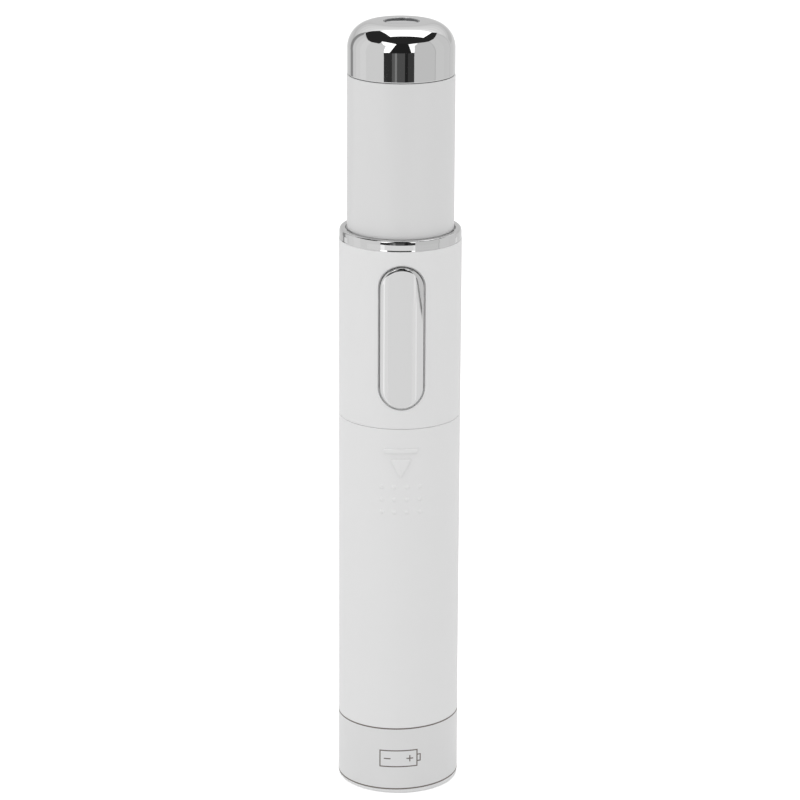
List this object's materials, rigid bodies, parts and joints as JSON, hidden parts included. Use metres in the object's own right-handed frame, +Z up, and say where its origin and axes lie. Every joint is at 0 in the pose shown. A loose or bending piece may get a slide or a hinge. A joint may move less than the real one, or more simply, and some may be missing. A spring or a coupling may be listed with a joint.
{
  "type": "heated eye massager wand",
  "caption": "Slim heated eye massager wand: white battery cover and housing, long chrome push button, chrome collar, plain white sleeve and a rounded chrome massage head.",
  "frame": {"origin": "centre of the base, on the surface that the wand stands on", "axes": "+Z up the wand's axis to the massage head, -Y out of the button, +X to the right of a person who looks at the button"},
  "size_m": [0.021, 0.0213, 0.1355],
  "materials": {
    "white_abs": "moulded, satin gloss",
    "chrome_plating": "plated mirror chrome",
    "inner_abs": "moulded, matte",
    "black_nylon": "moulded, matte",
    "grey_gasket": "soft moulded silicone",
    "seal_rubber": "moulded rubber",
    "nickel_steel": "nickel-plated steel",
    "cell_jacket": "foil jacket over the can",
    "alumina_ceramic": "fired, unglazed",
    "board_laminate": "solder-masked laminate",
    "ferrite": "sintered ferrite",
    "brass_weight": "turned",
    "wire_insulation": "extruded insulation"
  },
  "bodies": {
    "housing": {"upper_housing": "white_abs", "collar_ring": "chrome_plating", "head_sleeve": "white_abs", "massage_head": "chrome_plating", "head_seal": "grey_gasket", "electrode_insulator": "black_nylon", "center_electrode": "chrome_plating", "thermal_pad": "grey_gasket", "heater_ring": "alumina_ceramic", "heater_carrier": "black_nylon", "switch_body": "black_nylon", "chassis": "inner_abs", "cover_seal": "seal_rubber", "positive_contact": "nickel_steel", "transfer_contact": "nickel_steel", "circuit_board": "board_laminate", "controller_chip": "black_nylon", "boost_inductor": "ferrite", "board_capacitors": "alumina_ceramic", "motor_boot": "seal_rubber", "motor_can": "nickel_steel", "motor_end_cap": "black_nylon", "battery_leads": "wire_insulation", "motor_leads": "wire_insulation", "heater_leads": "wire_insulation", "electrode_lead": "wire_insulation"},
    "power_button": {"button_cap": "chrome_plating", "button_carrier": "inner_abs", "switch_plunger": "black_nylon"},
    "cover": {"battery_cover": "white_abs", "spring_plate": "nickel_steel", "contact_strip": "nickel_steel", "negative_spring": "nickel_steel"},
    "cell": {"cell_can": "cell_jacket", "cell_button": "nickel_steel"},
    "rotor": {"motor_shaft": "nickel_steel", "eccentric_weight": "brass_weight"}
  },
  "joints": [
    {"name": "button_press", "type": "slide", "parent": "housing", "child": "power_button", "axis": [0, 1, 0], "range_m": [0, 0.0005], "stiffness_N_per_m": 2500, "springref_m": -0.0002},
    {"name": "cover_pull", "type": "slide", "parent": "housing", "child": "cover", "axis": [0, 0, -1], "range_m": [0, 0.13]},
    {"name": "cell_slide", "type": "slide", "parent": "cover", "child": "cell", "axis": [0, 0, 1], "range_m": [0, 0.065]},
    {"name": "motor_spin", "type": "hinge", "parent": "housing", "child": "rotor", "pos_m": [0, 0, 0.105], "axis": [0, 0, 1], "continuous": true}
  ],
  "couplings": [
    {"joint": "cell_slide", "follows": "cover_pull", "ratio": 0.5}
  ]
}
